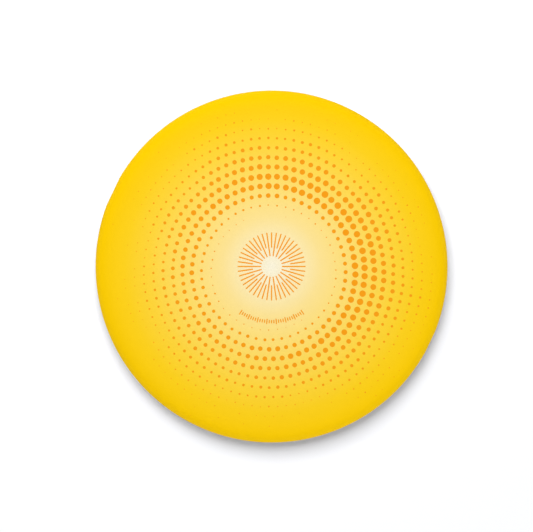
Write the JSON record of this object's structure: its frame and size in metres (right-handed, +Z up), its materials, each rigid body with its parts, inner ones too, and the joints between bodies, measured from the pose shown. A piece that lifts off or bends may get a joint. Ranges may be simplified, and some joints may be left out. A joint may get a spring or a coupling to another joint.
{
  "type": "soft flying disc",
  "caption": "Soft throwing disc for catching and toss juggling: a foam plate and a hooped foam rim in a printed knit cover, hollow underneath, with a rim turned down for the fingers.",
  "frame": {"origin": "centre of the ring that the disc rests on, at the resting plane", "axes": "+Z up through the crown, away from the hollow side; +Y towards the top of the print; the blank label is at -Y"},
  "size_m": [0.275, 0.275, 0.028],
  "materials": {
    "printed_knit": "matt brushed polyester knit, dye printed from cream at the centre to deep yellow at the edge",
    "screen_ink": "matt orange screen ink on the printed knit, in halftone dots and fine strokes",
    "plain_knit": "matt polyester knit, dyed through",
    "tape_weave": "narrow woven tape, fine cross ribs",
    "thread": "twisted polyester sewing thread",
    "label_satin": "blank folded satin ribbon",
    "foam": "closed-cell EVA foam, cut faces showing fine cells",
    "hoop_plastic": "natural polyethylene tube",
    "plug_plastic": "black moulded nylon"
  },
  "bodies": {
    "root": {"top_cover": "printed_knit", "under_panel": "plain_knit", "rim_lining": "plain_knit", "flatlock_seam": "thread", "seam_tape": "tape_weave", "tape_stitch_inner": "thread", "tape_stitch_outer": "thread", "care_label": "label_satin", "foam_plate": "foam", "foam_rim": "foam", "rim_hoop_right": "hoop_plastic", "rim_hoop_left": "hoop_plastic", "hoop_plug_left": "plug_plastic", "hoop_plug_right": "plug_plastic"}
  },
  "joints": []
}
